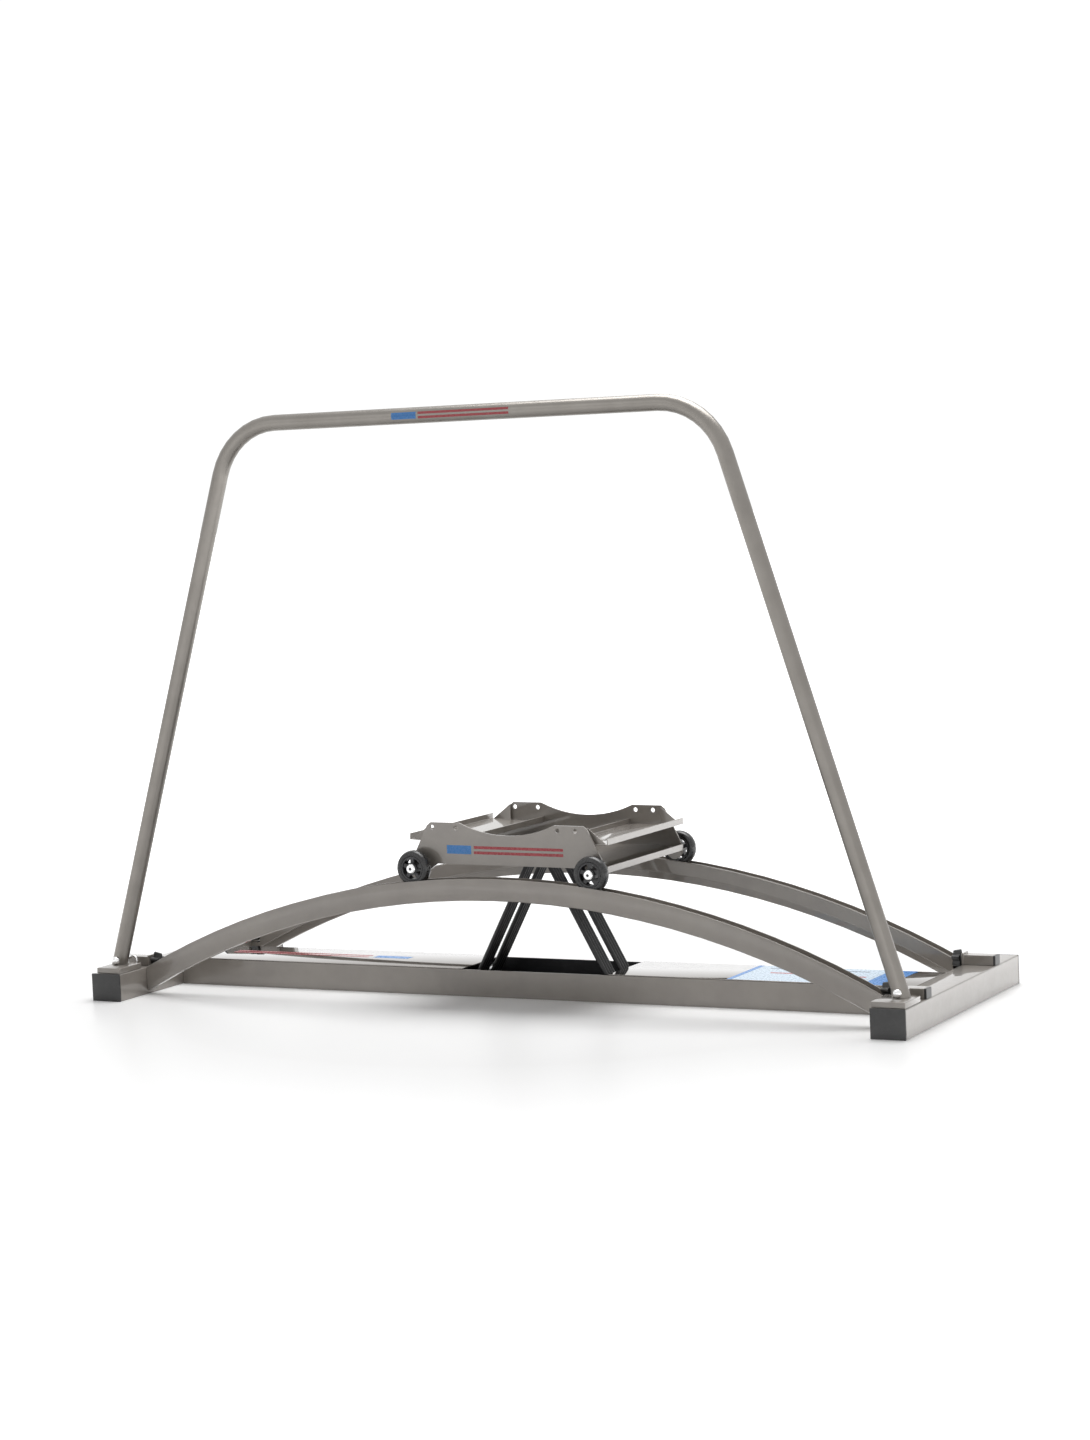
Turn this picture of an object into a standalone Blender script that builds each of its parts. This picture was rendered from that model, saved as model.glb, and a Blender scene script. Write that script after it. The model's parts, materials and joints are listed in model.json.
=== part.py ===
# Ski simulator: a foot carriage on two arched rails, returned by elastic bands, with a hand hoop.
# Metres, +Z up, +X along the rails, -Y is the side of the hoop. Origin: middle of the footprint, on the floor.
import math

import bmesh
import bpy
from mathutils import Matrix, Vector

# Whole machine
LENGTH = 1.886
DEPTH = 0.663
HOOP_TOP = 1.250
GAP = 0.0003
MERGE = 0.000001
EDGE_BREAK = 0.0009

# Crossbars and their end caps
CROSSBAR_WIDTH = 0.0728
CROSSBAR_HEIGHT = 0.060
CROSSBAR_WALL = 0.0025
CROSSBAR_EDGE = 0.003
CAP_FLANGE = 0.004
CAP_PLUG_DEPTH = 0.020

# Base beam, its covers and the open well for the bands
WORK_CENTRE = 0.020
BEAM_DEPTH = 0.174
BEAM_WALL = 0.0025
COVER_THICKNESS = 0.0020
WELL_LENGTH = 0.348
LINER_THICKNESS = 0.0015
LINER_OVERLAP = 0.031
LINER_RIM_DROP = 0.0005

# Arched rails
RAIL_RADIUS = 1.870
RAIL_FOOT_RISE = 0.0
RAIL_OFFSET = 0.0127
RAIL_WIDTH = 0.033
RAIL_HEIGHT = 0.0466
RAIL_LIP = 0.003
RAIL_WALL = 0.003
RAIL_HEAD = 0.030
RAIL_KEEL_SETBACK = 0.010
RAIL_CROWN = 0.0015
TROUGH_DEPTH = 0.0121
TROUGH_ROUND = 0.0016
RAIL_STEPS = 28
RAIL_OVERRUN = math.radians(1.6)

# Clamps at the rail ends
CLAMP_INSET = 0.1315
STUB_WIDTH = 0.028
STUB_HEIGHT = 0.020
STUB_WALL = 0.0015
STUB_CAP_FLANGE = 0.005
STUB_CAP_DEPTH = 0.012
LUG_THICKNESS = 0.004
LUG_RISE = 0.0035
KNOB_RADIUS = 0.020
KNOB_WAIST = 0.011
KNOB_LOBES = 5
KNOB_STAR_THICKNESS = 0.017
KNOB_BOSS_RADIUS = 0.009
KNOB_BOSS_LENGTH = 0.005
KNOB_CLEARANCE = 0.0015
STUD_RADIUS = 0.004
STUD_LENGTH = 0.020
STUD_CLEARANCE = 0.0004

# Hand hoop
HOOP_SETBACK = 0.0655
HOOP_TUBE = 0.0337
HOOP_WALL = 0.002
HOOP_FOOT_INSET = 0.0262
HOOP_LEG_ANGLE = math.radians(17.24)
HOOP_BEND_RADIUS = 0.148
HOOP_BEND_STEPS = 8
HOOP_SIDES = 24
HOOP_PLATE_HEIGHT = 0.012
HOOP_PLATE_DEPTH = 0.0825
HOOP_PLATE_INSET = 0.001
HOOP_PLATE_INSET_LEFT = 0.0125
SPIGOT_HEIGHT = 0.050
SPIGOT_CLEARANCE = 0.0005
LOCK_HEIGHT = 0.022
LOCK_RADIUS = 0.004
LOCK_ENGAGE = 0.010
LOCK_TAIL = 0.020
LOCK_CLEARANCE = 0.0004
PULL_RING_RADIUS = 0.0115
PULL_RING_WIRE = 0.0018
SCREW_HEAD_RADIUS = 0.009
SCREW_HEAD_HEIGHT = 0.007
SCREW_DOME = ((1.0, 0.4), (0.8, 0.8), (0.4, 1.0))

# Carriage
REST_ANGLE = math.asin(WORK_CENTRE / 1.9)
AXLE_HALF_SPAN = 0.2075
PLATE_TO_RAIL = 0.0275
PLATE_THICKNESS = 0.004
PLATE_FLAT_RISE = 0.0944
PLATE_DIP_RISE = 0.0701
PLATE_FLAT_LENGTH = 0.068
PLATE_FLAT_INSET = 0.0285
PLATE_SLANT = math.radians(38)
PLATE_SHOULDER_INSET = 0.0195
PLATE_HIP_OVERHANG = 0.0108
PLATE_HIP_RISE = 0.0290
PLATE_EAR_RADIUS = 0.021
PLATE_EAR_START = math.radians(22)
PLATE_EAR_END = math.radians(-100)
PLATE_FOOT_INSET = 0.0425
PLATE_BOTTOM_RISE = 0.0075
PLATE_HOLE_RADIUS = 0.005
PLATE_HOLE_INNER_INSET = 0.008
PLATE_HOLE_OUTER_INSET = {"left": 0.0036, "right": 0.0187}
PLATE_HOLE_DROP = 0.0105
DIP_STEPS = 12
EAR_STEPS = 6

# Foot trays and lower pan
TRAY_WIDTH = 0.129
TRAY_FLANGE = 0.0135
TRAY_THICKNESS = 0.002
TRAY_TILT = math.radians(2)
TRAY_AXLE_OVERHANG = 0.025
TRAY_FLOOR_RISE = 0.0560
GUSSET_SETBACK = 0.005
GUSSET_INSET = 0.0245
PAN_AXLE_OVERHANG = 0.0235
PAN_LIFT = 0.0005
PAN_END_DROP = 0.0090
PAN_FLANGE = 0.0138
PAN_THICKNESS = 0.002
PAN_SLOT_LENGTH = 0.120
PAN_SLOT_DEPTH = 0.130

# Wheels and axles
WHEEL_RADIUS = 0.038
WHEEL_WIDTH = 0.024
TYRE_THICKNESS = 0.0125
TYRE_CROWN = 0.0035
TYRE_EDGE = 0.0045
TREAD_SHARE = 0.92
HUB_RIM = 0.003
HUB_BOSS_RADIUS = 0.0125
HUB_BOSS_WIDTH = 0.0244
SPOKE_COUNT = 5
SPOKE_WIDTH = 0.008
SPOKE_WEB = 0.016
WHEEL_SIDES = 28
AXLE_SHAFT = 0.004
AXLE_CLEARANCE = 0.0003
AXLE_NUT_RADIUS = 0.0075
AXLE_NUT_LENGTH = 0.0065
AXLE_COLLAR_RADIUS = 0.007
AXLE_HEAD_RADIUS = 0.0105
AXLE_HEAD_HEIGHT = 0.005
AXLE_HEAD_TAPER = 0.8
SOCKET_RADIUS = 0.004
SOCKET_DEPTH = 0.003
NUT_RELIEF = 0.0025

# Elastic bands, the bar they pull on, their rollers and anchors
CORD_RADIUS = 0.0055
CORD_PITCH = 0.0107
CORDS_PER_BAND = 4
CORD_ARC_STEPS = 4
BAND_SPACING = 0.069
BAND_WELL_MARGIN = 0.028
BAND_SPREAD_AT_BAR = 0.0132
BAND_RUN_HEIGHT = 0.020
BAND_BEND_STEPS = 6
BAND_END_CLEARANCE = 0.001
ROLLER_RADIUS = 0.010
ROLLER_FLANGE_RADIUS = 0.0145
ROLLER_FLANGE = 0.004
ROLLER_LENGTH = 0.126
ROLLER_AXLE_RADIUS = 0.005
ROLLER_AXLE_CLEARANCE = 0.0004
ANCHOR_INSET = 0.250
ANCHOR_THICKNESS = 0.008
ANCHOR_HEIGHT = 0.034
PULL_BAR_RADIUS = 0.008
PULL_BAR_RISE = 0.033
PULL_BLOCK_RISE = 0.0168
PULL_BLOCK_LENGTH = 0.046
PULL_BLOCK_DEPTH = 0.118

# Worked out from the values above
INNER_FACE = LENGTH / 2 - CROSSBAR_WIDTH
CROSSBAR_CENTRE = LENGTH / 2 - CROSSBAR_WIDTH / 2
TUBE_HALF_DEPTH = DEPTH / 2 - CAP_FLANGE - GAP
ARC_CENTRE = CROSSBAR_HEIGHT + RAIL_FOOT_RISE - math.sqrt(RAIL_RADIUS ** 2 - INNER_FACE ** 2)
CLAMP_PLANE = DEPTH / 2 - CLAMP_INSET
RAIL_PLANE = CLAMP_PLANE + RAIL_OFFSET
TROUGH_HALF = RAIL_WIDTH / 2 - RAIL_LIP
AXLE_ORBIT = RAIL_RADIUS - TROUGH_DEPTH + WHEEL_RADIUS + GAP
AXLE_LEVEL = math.sqrt(AXLE_ORBIT ** 2 - AXLE_HALF_SPAN ** 2)
PLATE_OUTER_FACE = RAIL_PLANE - PLATE_TO_RAIL + PLATE_THICKNESS / 2
PLATE_INNER_FACE = RAIL_PLANE - PLATE_TO_RAIL - PLATE_THICKNESS / 2
PLATE_FLAT_OUTER = AXLE_HALF_SPAN - PLATE_FLAT_INSET
PLATE_FLAT_INNER = PLATE_FLAT_OUTER - PLATE_FLAT_LENGTH
STUB_FLOOR = CROSSBAR_HEIGHT + GAP
CLAMP_AXIS = STUB_FLOOR + STUB_HEIGHT / 2
COVER_FLOOR = CROSSBAR_HEIGHT - COVER_THICKNESS
BEAM_RIM = COVER_FLOOR - GAP
BEAM_INSIDE = BEAM_DEPTH / 2 - BEAM_WALL
LINER_LENGTH = WELL_LENGTH + 2 * LINER_OVERLAP
HOOP_PLANE = HOOP_SETBACK - DEPTH / 2
HOOP_RADIUS = HOOP_TUBE / 2
HOOP_PLATE_TOP = STUB_FLOOR + HOOP_PLATE_HEIGHT
HOOP_FOOT_LEVEL = HOOP_PLATE_TOP + GAP
LOCK_LEVEL = CROSSBAR_HEIGHT + LOCK_HEIGHT
RING_DROP = LOCK_HEIGHT - PULL_RING_RADIUS - PULL_RING_WIRE - 2 * GAP
RING_SWING = math.sqrt(PULL_RING_RADIUS ** 2 - RING_DROP ** 2)
PULL_BLOCK_FLOOR = AXLE_LEVEL + PULL_BLOCK_RISE
BAND_TOP = ARC_CENTRE + PULL_BLOCK_FLOOR - BAND_END_CLEARANCE
BAND_SPREAD_AT_BEAM = WELL_LENGTH / 2 - BAND_WELL_MARGIN
BAND_SLOPE = (BAND_SPREAD_AT_BEAM - BAND_SPREAD_AT_BAR) / (BAND_TOP - CROSSBAR_HEIGHT)
BAND_LEAN = math.atan(BAND_SLOPE)
BAND_ORBIT = ROLLER_RADIUS + CORD_RADIUS + GAP
ROLLER_LEVEL = BAND_RUN_HEIGHT + BAND_ORBIT
ROLLER_SPREAD = (BAND_SPREAD_AT_BEAM + (CROSSBAR_HEIGHT - ROLLER_LEVEL) * BAND_SLOPE
                 + BAND_ORBIT / math.cos(BAND_LEAN))
ANCHOR_SPAN = INNER_FACE - ANCHOR_INSET

PAINT_GREY = ("frame_paint", (0.205, 0.195, 0.182), 0.42, 0.35)
COVER_GREY = ("cover_paint", (0.260, 0.250, 0.236), 0.20, 0.35)
CAP_BLACK = ("cap_plastic", (0.058, 0.058, 0.058), 0.55, 0.0)
LINER_BLACK = ("liner_plastic", (0.012, 0.012, 0.013), 0.50, 0.0)
KNOB_BLACK = ("knob_plastic", (0.030, 0.030, 0.030), 0.45, 0.0)
TYRE_BLACK = ("tyre_urethane", (0.042, 0.042, 0.041), 0.40, 0.0)
HUB_DARK = ("hub_nylon", (0.060, 0.060, 0.060), 0.35, 0.0)
BAND_BLACK = ("band_rubber", (0.012, 0.012, 0.013), 0.60, 0.0)
BRIGHT_STEEL = ("bright_steel", (0.75, 0.75, 0.76), 0.18, 1.0)

SIDES = (("left", -1), ("right", 1))
ROWS = (("front", -1), ("rear", 1))


def clear_scene():
    for old in list(bpy.data.objects):
        bpy.data.objects.remove(old)


def finish_material(spec):
    name, colour, roughness, metallic = spec
    material = bpy.data.materials.get(name)
    if material:
        return material
    material = bpy.data.materials.new(name)
    material.use_nodes = True
    shader = material.node_tree.nodes["Principled BSDF"]
    shader.inputs["Base Color"].default_value = (*colour, 1.0)
    shader.inputs["Roughness"].default_value = roughness
    shader.inputs["Metallic"].default_value = metallic
    return material


def add(name, bm, spec=None):
    mesh = bpy.data.meshes.new(name)
    bm.to_mesh(mesh)
    bm.free()
    obj = bpy.data.objects.new(name, mesh)
    bpy.context.collection.objects.link(obj)
    if spec:
        mesh.materials.append(finish_material(spec))
    return obj


def shade(obj, angle=35):
    obj.data.shade_smooth()
    obj.data.set_sharp_from_angle(angle=math.radians(angle))
    return obj


def combine(target, tool_mesh, operation):
    tool = add("tool", tool_mesh)
    modifier = target.modifiers.new("shape", "BOOLEAN")
    modifier.operation = operation
    modifier.solver = "EXACT"
    modifier.object = tool
    bpy.context.view_layer.update()
    graph = bpy.context.evaluated_depsgraph_get()
    shaped = bpy.data.meshes.new_from_object(target.evaluated_get(graph))
    target.modifiers.clear()
    target.data = shaped
    bpy.data.objects.remove(tool)
    return target


def cut(target, tool_mesh):
    return combine(target, tool_mesh, "DIFFERENCE")


def join(target, tool_mesh):
    return combine(target, tool_mesh, "UNION")


def box(low, high, edge=0.0):
    bm = bmesh.new()
    bmesh.ops.create_cube(bm, size=1.0)
    size = Vector(high) - Vector(low)
    bmesh.ops.scale(bm, vec=size, verts=bm.verts)
    bmesh.ops.translate(bm, vec=(Vector(high) + Vector(low)) / 2, verts=bm.verts)
    if edge:
        bmesh.ops.bevel(bm, geom=bm.edges[:], offset=edge, segments=2, profile=0.5, affect="EDGES")
    return bm


def bar(start, end, radius, sides=16):
    bm = bmesh.new()
    start, end = Vector(start), Vector(end)
    bmesh.ops.create_cone(bm, cap_ends=True, segments=sides, radius1=radius, radius2=radius,
                          depth=(end - start).length)
    turn = Vector((0, 0, 1)).rotation_difference(end - start).to_matrix().to_4x4()
    bmesh.ops.transform(bm, matrix=Matrix.Translation((start + end) / 2) @ turn, verts=bm.verts)
    return bm


def prism(outline, near, far, axis="Y"):
    """Extrude a flat outline, given as (x, z) pairs along Y or (y, z) pairs along X."""
    bm = bmesh.new()
    if axis == "Y":
        verts = [bm.verts.new((a, near, b)) for a, b in outline]
        step = (0, far - near, 0)
    else:
        verts = [bm.verts.new((near, a, b)) for a, b in outline]
        step = (far - near, 0, 0)
    face = bm.faces.new(verts)
    grown = bmesh.ops.extrude_face_region(bm, geom=[face])
    moved = [item for item in grown["geom"] if isinstance(item, bmesh.types.BMVert)]
    bmesh.ops.translate(bm, vec=step, verts=moved)
    bmesh.ops.recalc_face_normals(bm, faces=bm.faces)
    return bm


def turned(profile, sides, ring=False):
    """Turn (radius, y) points about the Y axis. A ring has a closed profile."""
    bm = bmesh.new()
    verts = [bm.verts.new((radius, y, 0)) for radius, y in profile]
    edges = [bm.edges.new(pair) for pair in zip(verts, verts[1:])]
    if ring:
        edges.append(bm.edges.new((verts[-1], verts[0])))
    bmesh.ops.spin(bm, geom=verts + edges, cent=(0, 0, 0), axis=(0, 1, 0),
                   angle=2 * math.pi, steps=sides, use_merge=True)
    bmesh.ops.remove_doubles(bm, verts=bm.verts, dist=MERGE)
    bmesh.ops.recalc_face_normals(bm, faces=bm.faces)
    return bm


def circle(radius, sides):
    return [(radius * math.cos(2 * math.pi * i / sides), radius * math.sin(2 * math.pi * i / sides))
            for i in range(sides)]


def sweep(outline, start, heading, path, start_level=None, end_level=None):
    """Sweep a closed (normal, y) outline along lines and arcs in the XZ plane.

    An end can be cut level, at a height.
    """
    bm = bmesh.new()
    place = Vector(start)
    normal = Vector((-math.sin(heading), math.cos(heading)))
    verts = [bm.verts.new((place.x + n * normal.x, y, place.y + n * normal.y)) for n, y in outline]
    first = [bm.edges.new((verts[i - 1], verts[i])) for i in range(len(verts))]
    last = first
    first_heading = heading
    for kind, size, turn, steps in path:
        along = Vector((math.cos(heading), math.sin(heading)))
        normal = Vector((-along.y, along.x))
        if kind == "line":
            grown = bmesh.ops.extrude_edge_only(bm, edges=last)["geom"]
            fresh = {item for item in grown if isinstance(item, bmesh.types.BMVert)}
            bmesh.ops.translate(bm, vec=(along.x * size, 0, along.y * size), verts=list(fresh))
            last = [item for item in grown if isinstance(item, bmesh.types.BMEdge)
                    and item.verts[0] in fresh and item.verts[1] in fresh]
            place = place + along * size
        else:
            centre = place + normal * math.copysign(size, turn)
            loop = list({vert for edge in last for vert in edge.verts})
            spun = bmesh.ops.spin(bm, geom=last + loop, cent=(centre.x, 0, centre.y), axis=(0, 1, 0),
                                  angle=-turn, steps=steps)["geom_last"]
            last = [item for item in spun if isinstance(item, bmesh.types.BMEdge)]
            place = centre + Matrix.Rotation(turn, 2) @ (place - centre)
            heading = heading + turn
    for loop, level, lean in ((first, start_level, first_heading), (last, end_level, heading)):
        if level is not None:
            slope = math.cos(lean) / math.sin(lean)
            for vert in {vert for edge in loop for vert in edge.verts}:
                vert.co.x += (level - vert.co.z) * slope
                vert.co.z = level
        bmesh.ops.contextual_create(bm, geom=loop)
    bmesh.ops.recalc_face_normals(bm, faces=bm.faces)
    return bm


def parented(obj, parent, place=(0, 0, 0)):
    obj.parent = parent
    obj.location = place
    return obj


def pivot(name, place, turn=0.0, parent=None):
    empty = bpy.data.objects.new(name, None)
    empty.location = place
    empty.rotation_euler = (0, turn, 0)
    empty.parent = parent
    bpy.context.collection.objects.link(empty)
    return empty


def moved(bm, offset):
    bmesh.ops.translate(bm, vec=offset, verts=bm.verts)
    return bm


# Frame
def make_crossbar(side, sign):
    low = (sign * CROSSBAR_CENTRE - CROSSBAR_WIDTH / 2, -TUBE_HALF_DEPTH, 0)
    high = (sign * CROSSBAR_CENTRE + CROSSBAR_WIDTH / 2, TUBE_HALF_DEPTH, CROSSBAR_HEIGHT)
    outline = box(low, high)
    long_edges = [edge for edge in outline.edges
                  if abs(edge.verts[0].co.y - edge.verts[1].co.y) > DEPTH / 2]
    bmesh.ops.bevel(outline, geom=long_edges, offset=CROSSBAR_EDGE, segments=3, profile=0.5, affect="EDGES")
    tube = add("crossbar_" + side, outline, PAINT_GREY)
    wall = CROSSBAR_WALL
    bore = box((low[0] + wall, low[1] - wall, wall), (high[0] - wall, high[1] + wall, CROSSBAR_HEIGHT - wall))
    shade(cut(tube, bore))


def make_crossbar_cap(row, row_sign, side, sign):
    face = row_sign * DEPTH / 2
    inner = face - row_sign * CAP_FLANGE
    half = CROSSBAR_WIDTH / 2
    centre = sign * CROSSBAR_CENTRE
    flange = box((centre - half, min(face, inner), 0), (centre + half, max(face, inner), CROSSBAR_HEIGHT),
                 edge=CAP_FLANGE / 4)
    cap = add("crossbar_cap_" + row + "_" + side, flange, CAP_BLACK)
    inset = CROSSBAR_WALL + GAP
    tip = inner - row_sign * CAP_PLUG_DEPTH
    root = inner + row_sign * CAP_FLANGE / 2
    plug = box((centre - half + inset, min(tip, root), inset),
               (centre + half - inset, max(tip, root), CROSSBAR_HEIGHT - inset))
    shade(join(cap, plug))


def make_beam():
    length = INNER_FACE - GAP
    outside = box((-length, -BEAM_DEPTH / 2, 0), (length, BEAM_DEPTH / 2, BEAM_RIM))
    beam = add("base_beam", outside, PAINT_GREY)
    trough = box((-LENGTH, -BEAM_INSIDE, BEAM_WALL), (LENGTH, BEAM_INSIDE, CROSSBAR_HEIGHT))
    shade(cut(beam, trough))


def make_cover(side, sign):
    outer = sign * (INNER_FACE - GAP)
    inner = WORK_CENTRE + sign * WELL_LENGTH / 2
    plate = box((min(outer, inner), -BEAM_DEPTH / 2, COVER_FLOOR),
                (max(outer, inner), BEAM_DEPTH / 2, CROSSBAR_HEIGHT), edge=COVER_THICKNESS / 4)
    shade(add("beam_cover_" + side, plate, COVER_GREY))


def make_liner():
    half = BEAM_INSIDE - GAP
    floor = BEAM_WALL + GAP
    low = (WORK_CENTRE - LINER_LENGTH / 2, -half, floor)
    high = (WORK_CENTRE + LINER_LENGTH / 2, half, BEAM_RIM - LINER_RIM_DROP)
    liner = add("band_well_liner", box(low, high), LINER_BLACK)
    wall = LINER_THICKNESS
    cut(liner, box((low[0] - wall, -half + wall, floor + wall), (high[0] + wall, half - wall, CROSSBAR_HEIGHT)))
    for side, sign in SIDES:
        spot = WORK_CENTRE + sign * ROLLER_SPREAD
        reach = BEAM_DEPTH / 2
        hole = ROLLER_AXLE_RADIUS + ROLLER_AXLE_CLEARANCE
        cut(liner, bar((spot, -reach, ROLLER_LEVEL), (spot, reach, ROLLER_LEVEL), hole))
    shade(liner)


# Rails
def rail_outline(sign):
    """Section of a rail: n runs outward from the arc's centre and is 0 on the lips."""
    half = RAIL_WIDTH / 2
    corner = RAIL_CROWN
    points = [(0, half - RAIL_CROWN - corner / 2)]
    face_steps = 6
    face_drop = RAIL_HEIGHT - corner - 3 * RAIL_CROWN
    for i in range(face_steps + 1):
        share = i / face_steps
        swell = RAIL_CROWN * math.sin(math.pi * share)
        points.append((-corner / 2 - share * face_drop, half - RAIL_CROWN + swell))
    points.append((-RAIL_HEIGHT + corner, half - 2 * RAIL_CROWN))
    points.append((-RAIL_HEIGHT, half - 4 * RAIL_CROWN))
    keel = RAIL_KEEL_SETBACK - half
    points.append((-RAIL_HEIGHT, keel + corner))
    points.append((-RAIL_HEIGHT + corner, keel))
    points.append((-RAIL_HEAD, keel))
    points.append((-RAIL_HEAD, -half + corner / 2))
    points.append((-RAIL_HEAD + corner, -half))
    points.append((-corner, -half))
    points.append((0, -half + corner / 2))
    points.append((0, -TROUGH_HALF))
    trough_steps = 6
    for i in range(trough_steps + 1):
        across = -1 + 2 * i / trough_steps
        points.append((-TROUGH_DEPTH + TROUGH_ROUND * across ** 2, TROUGH_HALF * across))
    points.append((0, TROUGH_HALF))
    return [(n, sign * y) for n, y in points]


def rail_bore_outline(sign):
    half = RAIL_WIDTH / 2 - RAIL_WALL - RAIL_CROWN
    top = -TROUGH_DEPTH - RAIL_WALL
    head = -RAIL_HEAD + RAIL_WALL
    floor = -RAIL_HEIGHT + RAIL_WALL
    keel = RAIL_KEEL_SETBACK - RAIL_WIDTH / 2 + RAIL_WALL
    points = [(top, -half), (top, half), (floor + RAIL_WALL, half), (floor, half - RAIL_WALL),
              (floor, keel), (head, keel), (head, -half)]
    return [(n, sign * y) for n, y in points]


def arch(outline, reach, steps):
    start = (-RAIL_RADIUS * math.sin(reach), RAIL_RADIUS * math.cos(reach))
    return sweep(outline, start, reach, [("arc", RAIL_RADIUS, -2 * reach, steps)])


def make_rail(row, sign):
    reach = math.asin(INNER_FACE / (RAIL_RADIUS - RAIL_HEIGHT)) + RAIL_OVERRUN
    rail = add("rail_" + row, arch(rail_outline(sign), reach, RAIL_STEPS), PAINT_GREY)
    high = RAIL_RADIUS + RAIL_HEIGHT
    end = INNER_FACE - GAP
    combine(rail, box((-end, -RAIL_WIDTH, high / 2), (end, RAIL_WIDTH, high)), "INTERSECT")
    cut(rail, arch(rail_bore_outline(sign), reach, RAIL_STEPS))
    knob_y = -sign * RAIL_OFFSET
    knob_z = CLAMP_AXIS - ARC_CENTRE
    knob_depth = KNOB_STAR_THICKNESS + KNOB_BOSS_LENGTH + KNOB_CLEARANCE
    for side, way in SIDES:
        relief = bar((way * (INNER_FACE - knob_depth), knob_y, knob_z), (way * LENGTH / 2, knob_y, knob_z),
                     KNOB_RADIUS + KNOB_CLEARANCE, sides=24)
        cut(rail, relief)
    rail.location = (0, sign * RAIL_PLANE, ARC_CENTRE)
    shade(rail)


# Clamps
def make_clamp(row, row_sign, side, sign):
    centre = row_sign * CLAMP_PLANE
    name = row + "_" + side
    lug_face = sign * (INNER_FACE + GAP)
    lug_back = sign * (INNER_FACE + GAP + LUG_THICKNESS)
    tube_end = sign * (LENGTH / 2 - STUB_CAP_FLANGE - GAP)
    half = STUB_WIDTH / 2
    top = STUB_FLOOR + STUB_HEIGHT
    near, far = sorted((lug_back - sign * LUG_THICKNESS / 2, tube_end))
    stub = add("clamp_stub_" + name, box((near, centre - half, STUB_FLOOR), (far, centre + half, top)), PAINT_GREY)
    near, far = sorted((lug_back, sign * LENGTH / 2))
    wall = STUB_WALL
    cut(stub, box((near, centre - half + wall, STUB_FLOOR + wall), (far, centre + half - wall, top - wall)))
    near, far = sorted((lug_face, lug_back))
    join(stub, box((near, centre - half - wall, STUB_FLOOR), (far, centre + half + wall, top + LUG_RISE)))
    cut(stub, bar((sign * INNER_FACE, centre, CLAMP_AXIS), (lug_back + sign * wall, centre, CLAMP_AXIS),
                  STUD_RADIUS + STUD_CLEARANCE))
    shade(stub)
    near, far = sorted((sign * LENGTH / 2, sign * (LENGTH / 2 - STUB_CAP_FLANGE)))
    cap = add("stub_cap_" + name, box((near, centre - half, STUB_FLOOR), (far, centre + half, top)), CAP_BLACK)
    near, far = sorted((sign * (LENGTH / 2 - wall), sign * (LENGTH / 2 - STUB_CAP_FLANGE - STUB_CAP_DEPTH)))
    slack = wall + GAP
    join(cap, box((near, centre - half + slack, STUB_FLOOR + slack), (far, centre + half - slack, top - slack)))
    shade(cap)


def star_outline():
    count = KNOB_LOBES * 8
    swing = (KNOB_RADIUS - KNOB_WAIST) / 2
    middle = (KNOB_RADIUS + KNOB_WAIST) / 2
    points = []
    for i in range(count):
        angle = 2 * math.pi * i / count
        radius = middle + swing * math.cos(KNOB_LOBES * angle)
        points.append((radius * math.sin(angle), radius * math.cos(angle)))
    return points


def make_knob(row, row_sign, side, sign):
    """A star knob with its stud, turned about X. Its origin is on that axis, at the lug's face."""
    near, far = sorted((-sign * KNOB_BOSS_LENGTH, -sign * (KNOB_BOSS_LENGTH + KNOB_STAR_THICKNESS)))
    knob = add("knob_" + row + "_" + side, prism(star_outline(), near, far, axis="X"), KNOB_BLACK)
    overlap = sign * KNOB_STAR_THICKNESS / 2
    join(knob, bar((0, 0, 0), (-sign * KNOB_BOSS_LENGTH - overlap, 0, 0), KNOB_BOSS_RADIUS, sides=20))
    join(knob, bar((-overlap, 0, 0), (sign * STUD_LENGTH, 0, 0), STUD_RADIUS))
    knob.location = (sign * INNER_FACE, row_sign * CLAMP_PLANE, CLAMP_AXIS)
    shade(knob)


# Hand hoop
def hoop_leg_x(level):
    return LENGTH / 2 - HOOP_FOOT_INSET - math.tan(HOOP_LEG_ANGLE) * (level - CROSSBAR_HEIGHT)


def hoop_tube(radius, foot):
    bar_level = HOOP_TOP - HOOP_RADIUS
    turn = math.pi / 2 - HOOP_LEG_ANGLE
    tangent = HOOP_BEND_RADIUS * math.tan(turn / 2)
    leg = (bar_level - foot) / math.cos(HOOP_LEG_ANGLE) - tangent
    straight = 2 * (hoop_leg_x(bar_level) - tangent)
    path = [("line", leg, 0, 0), ("arc", HOOP_BEND_RADIUS, -turn, HOOP_BEND_STEPS),
            ("line", straight, 0, 0), ("arc", HOOP_BEND_RADIUS, -turn, HOOP_BEND_STEPS),
            ("line", leg, 0, 0)]
    start = (-hoop_leg_x(foot), foot)
    tube = sweep(circle(radius, HOOP_SIDES), start, turn, path, foot, foot)
    return moved(tube, (0, HOOP_PLANE, 0))


def make_hoop():
    hoop = add("hoop_bar", hoop_tube(HOOP_RADIUS, HOOP_FOOT_LEVEL), PAINT_GREY)
    cut(hoop, hoop_tube(HOOP_RADIUS - HOOP_WALL, HOOP_FOOT_LEVEL - HOOP_WALL))
    for side, sign in SIDES:
        spot = sign * hoop_leg_x(LOCK_LEVEL)
        hole = bar((spot, HOOP_PLANE - HOOP_TUBE, LOCK_LEVEL), (spot, HOOP_PLANE + HOOP_TUBE, LOCK_LEVEL),
                   LOCK_RADIUS + LOCK_CLEARANCE)
        cut(hoop, hole)
    shade(hoop)


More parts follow.
